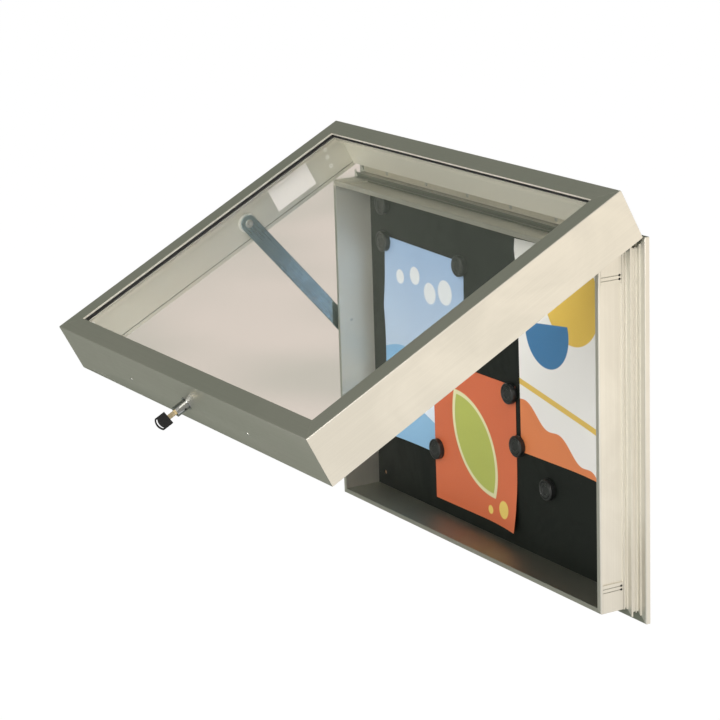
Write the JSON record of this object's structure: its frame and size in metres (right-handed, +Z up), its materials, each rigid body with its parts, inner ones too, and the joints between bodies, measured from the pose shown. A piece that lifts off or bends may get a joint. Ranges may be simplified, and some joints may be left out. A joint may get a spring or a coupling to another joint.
{
  "type": "lockable notice board",
  "caption": "Shallow wall case with a steel notice panel and a glazed door, hinged along its top edge, held open by a folding stay and secured by a push lock.",
  "frame": {"origin": "centre of the wall fixing holes, in the plane of the wall", "axes": "+Y into the wall, +X to the right as seen from the front, +Z up; the door is open at rest"},
  "size_m": [0.695, 0.5291, 0.5787],
  "materials": {
    "anodised_aluminium": "satin anodised",
    "cast_cleat": "as cast",
    "dark_panel": "matt coated steel that holds magnets",
    "hardboard": "smooth hardboard",
    "stainless_steel": "brushed",
    "zinc_fastener": "bright zinc",
    "black_screw": "blackened steel",
    "white_nylon": "turned nylon",
    "clear_glass": "clear",
    "black_rubber": "matt",
    "chromed_lock": "polished",
    "lock_brass": "machined",
    "black_plastic": "moulded",
    "blue_notice": "printed sheet",
    "orange_notice": "printed sheet",
    "white_notice": "printed sheet"
  },
  "bodies": {
    "case": {"case_profile_bottom": "anodised_aluminium", "case_profile_left": "anodised_aluminium", "case_profile_right": "anodised_aluminium", "case_profile_top": "anodised_aluminium", "case_corner_bracket_bottom_left": "anodised_aluminium", "case_corner_bracket_bottom_right": "anodised_aluminium", "case_corner_bracket_top_left": "anodised_aluminium", "case_corner_bracket_top_right": "anodised_aluminium", "back_panel": "dark_panel", "backing_board": "hardboard", "hinge_leaf_case": "stainless_steel", "hinge_pin": "stainless_steel", "panel_screws": "zinc_fastener", "hinge_rivets_case": "zinc_fastener", "stay_stop_screw": "zinc_fastener", "corner_bracket_screws": "black_screw", "stay_stop": "white_nylon", "lock_keeper": "lock_brass", "magnets": "black_plastic", "notice_left": "blue_notice", "notice_middle": "orange_notice", "notice_right": "white_notice"},
    "door": {"door_profile_bottom": "anodised_aluminium", "door_profile_left": "anodised_aluminium", "door_profile_right": "anodised_aluminium", "door_profile_top": "anodised_aluminium", "glazing_bead_bottom": "anodised_aluminium", "glazing_bead_left": "anodised_aluminium", "glazing_bead_right": "anodised_aluminium", "glazing_bead_top": "anodised_aluminium", "door_corner_cleat_bottom_left": "cast_cleat", "door_corner_cleat_bottom_right": "cast_cleat", "door_corner_cleat_top_left": "cast_cleat", "door_corner_cleat_top_right": "cast_cleat", "hinge_leaf_door": "stainless_steel", "stay_rivet": "stainless_steel", "glazing_clips": "stainless_steel", "hinge_rivets_door": "zinc_fastener", "door_bottom_rivets": "zinc_fastener", "stay_spacer": "white_nylon", "glass_pane": "clear_glass", "glazing_gasket": "black_rubber", "lock_collar": "chromed_lock", "lock_nut": "chromed_lock"},
    "stay": {"stay_bar": "stainless_steel", "stay_guide_pin": "stainless_steel", "stay_roller": "white_nylon"},
    "lock_cylinder": {"lock_cylinder": "chromed_lock", "lock_bolt": "chromed_lock", "lock_side_pin": "black_screw"},
    "key": {"lock_plug": "lock_brass", "key_blade": "lock_brass", "key_head": "black_plastic"}
  },
  "joints": [
    {"name": "door_hinge", "type": "hinge", "parent": "case", "child": "door", "pos_m": [0, -0.011, 0.2595], "axis": [1, 0, 0], "range_deg": [0, 62.4]},
    {"name": "stay_pivot", "type": "hinge", "parent": "door", "child": "stay", "pos_m": [-0.33125, -0.20355, 0.18964], "axis": [1, 0, 0], "range_deg": [-105.1, 0]},
    {"name": "lock_push", "type": "slide", "parent": "door", "child": "lock_cylinder", "axis": [0, 0.8862, 0.4633], "range_m": [0, 0.0095], "stiffness_N_per_m": 200, "springref_m": -0.006},
    {"name": "key_turn", "type": "hinge", "parent": "lock_cylinder", "child": "key", "pos_m": [0, -0.48358, 0.04539], "axis": [0, 0.8862, 0.4633], "range_deg": [0, 90]}
  ],
  "couplings": [
    {"joint": "stay_pivot", "follows": "door_hinge", "ratio": -1.68}
  ]
}
